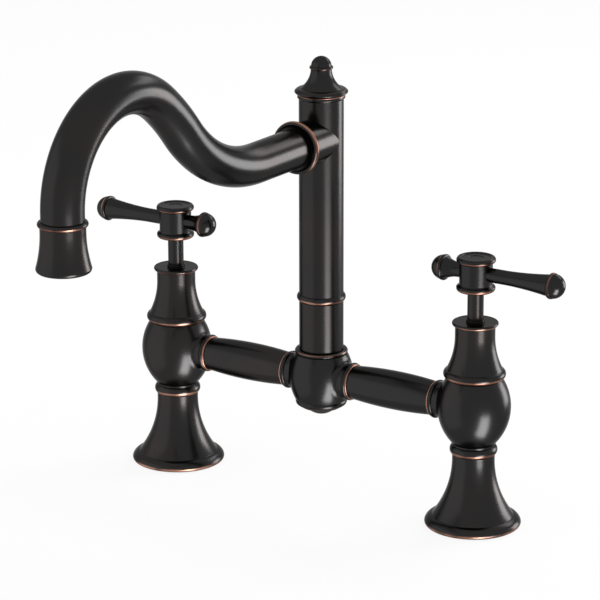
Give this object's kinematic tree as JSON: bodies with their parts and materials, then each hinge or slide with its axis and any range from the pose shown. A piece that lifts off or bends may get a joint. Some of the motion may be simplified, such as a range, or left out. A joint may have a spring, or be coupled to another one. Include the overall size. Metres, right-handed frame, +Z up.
{
  "type": "bridge kitchen faucet",
  "caption": "Bridge kitchen faucet with lever handles on turned pillars, a swivelling column and a swan-neck spout, in a dark bronze finish with bright worn edges.",
  "frame": {"origin": "on the deck, at the feet's underside, midway between the two inlets", "axes": "+Z up; X along the bridge towards the right-hand pillar; spout points along -Y towards the user"},
  "size_m": [0.3136, 0.2814, 0.2842],
  "materials": {
    "bronze_finish": "satin",
    "bare_brass": "satin",
    "rubber": "matte",
    "ceramic": "satin",
    "bearing_plastic": "matte",
    "steel": "satin"
  },
  "bodies": {
    "root": {"left_foot": "bronze_finish", "left_foot_gasket": "rubber", "left_inlet_bush": "bare_brass", "left_valve_body": "bronze_finish", "left_seat_washer": "rubber", "left_cartridge": "bare_brass", "left_fixed_disc": "ceramic", "left_bonnet": "bronze_finish", "left_gland_flange": "bronze_finish", "left_bridge_arm": "bronze_finish", "left_inner_arm_collar": "bronze_finish", "left_outer_arm_collar": "bronze_finish", "right_foot": "bronze_finish", "right_foot_gasket": "rubber", "right_inlet_bush": "bare_brass", "right_valve_body": "bronze_finish", "right_seat_washer": "rubber", "right_cartridge": "bare_brass", "right_fixed_disc": "ceramic", "right_bonnet": "bronze_finish", "right_gland_flange": "bronze_finish", "right_bridge_arm": "bronze_finish", "right_inner_arm_collar": "bronze_finish", "right_outer_arm_collar": "bronze_finish", "centre_body": "bronze_finish", "bottom_plug": "bronze_finish", "lower_column": "bronze_finish", "swivel_spigot": "bare_brass", "swivel_o_rings": "rubber", "retaining_clip": "steel"},
    "spout": {"swivel_collar": "bronze_finish", "swivel_bush": "bearing_plastic", "column_tube": "bronze_finish", "finial": "bronze_finish", "spout_boss": "bronze_finish", "spout_ring": "bronze_finish", "spout_tube": "bronze_finish", "outlet_bell": "bronze_finish", "aerator_shell": "bare_brass", "aerator_insert": "bearing_plastic", "aerator_washer": "rubber"},
    "left_handle": {"left_moving_disc": "ceramic", "left_spindle": "bronze_finish", "left_hub": "bronze_finish", "left_hub_cap": "bronze_finish", "left_grub_screw": "steel", "left_lever": "bronze_finish", "left_lever_end": "bronze_finish", "left_counter_knob": "bronze_finish"},
    "right_handle": {"right_moving_disc": "ceramic", "right_spindle": "bronze_finish", "right_hub": "bronze_finish", "right_hub_cap": "bronze_finish", "right_grub_screw": "steel", "right_lever": "bronze_finish", "right_lever_end": "bronze_finish", "right_counter_knob": "bronze_finish"}
  },
  "joints": [
    {"name": "spout_swivel", "type": "hinge", "parent": "root", "child": "spout", "pos_m": [0, 0, 0.1157], "axis": [0, 0, 1], "continuous": true},
    {"name": "left_handle_turn", "type": "hinge", "parent": "root", "child": "left_handle", "pos_m": [-0.1015, 0, 0.1475], "axis": [0, 0, 1], "range_deg": [0, 90]},
    {"name": "right_handle_turn", "type": "hinge", "parent": "root", "child": "right_handle", "pos_m": [0.1015, 0, 0.1475], "axis": [0, 0, 1], "range_deg": [-90, 0]}
  ]
}
